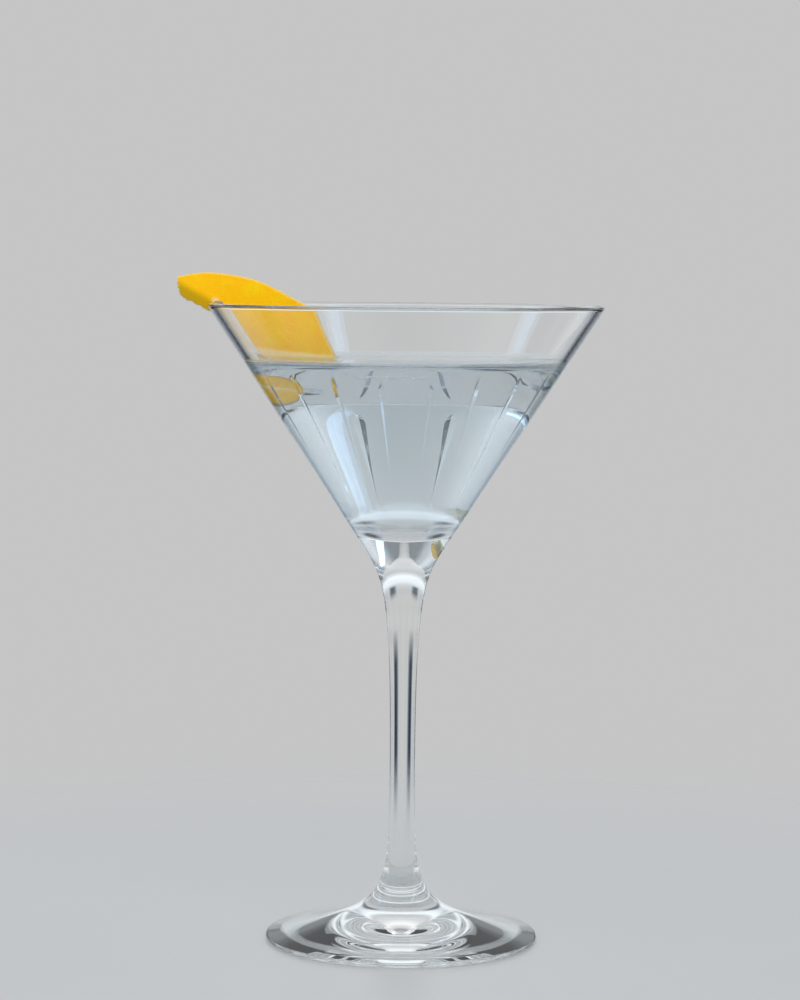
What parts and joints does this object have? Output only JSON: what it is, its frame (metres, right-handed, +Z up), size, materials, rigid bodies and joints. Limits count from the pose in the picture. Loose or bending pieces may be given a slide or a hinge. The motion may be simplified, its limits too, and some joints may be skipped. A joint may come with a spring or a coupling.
{
  "type": "cocktail glass",
  "caption": "Stemmed cone-shaped cocktail glass with mitre cuts, holding a clear drink, with a notched lemon peel hung on the rim.",
  "frame": {"origin": "centre of the ground ring under the foot, on the axis of the glass", "axes": "+Z up along the axis of the glass, -X the side where the peel hangs, 15 degrees towards +Y, -Y the side that the zest faces"},
  "size_m": [0.1205, 0.11, 0.1864],
  "materials": {
    "clear_glass": "polished",
    "drink": "polished",
    "zest": "satin",
    "pith": "matte"
  },
  "bodies": {
    "glass": {"bowl": "clear_glass", "stem": "clear_glass", "foot": "clear_glass", "drink": "drink"},
    "peel": {"peel_zest": "zest", "peel_pith": "pith"}
  },
  "joints": [
    {"name": "peel_lift", "type": "slide", "parent": "glass", "child": "peel", "axis": [-0.5308, 0.1422, 0.8355], "range_m": [0, 0.03]}
  ]
}
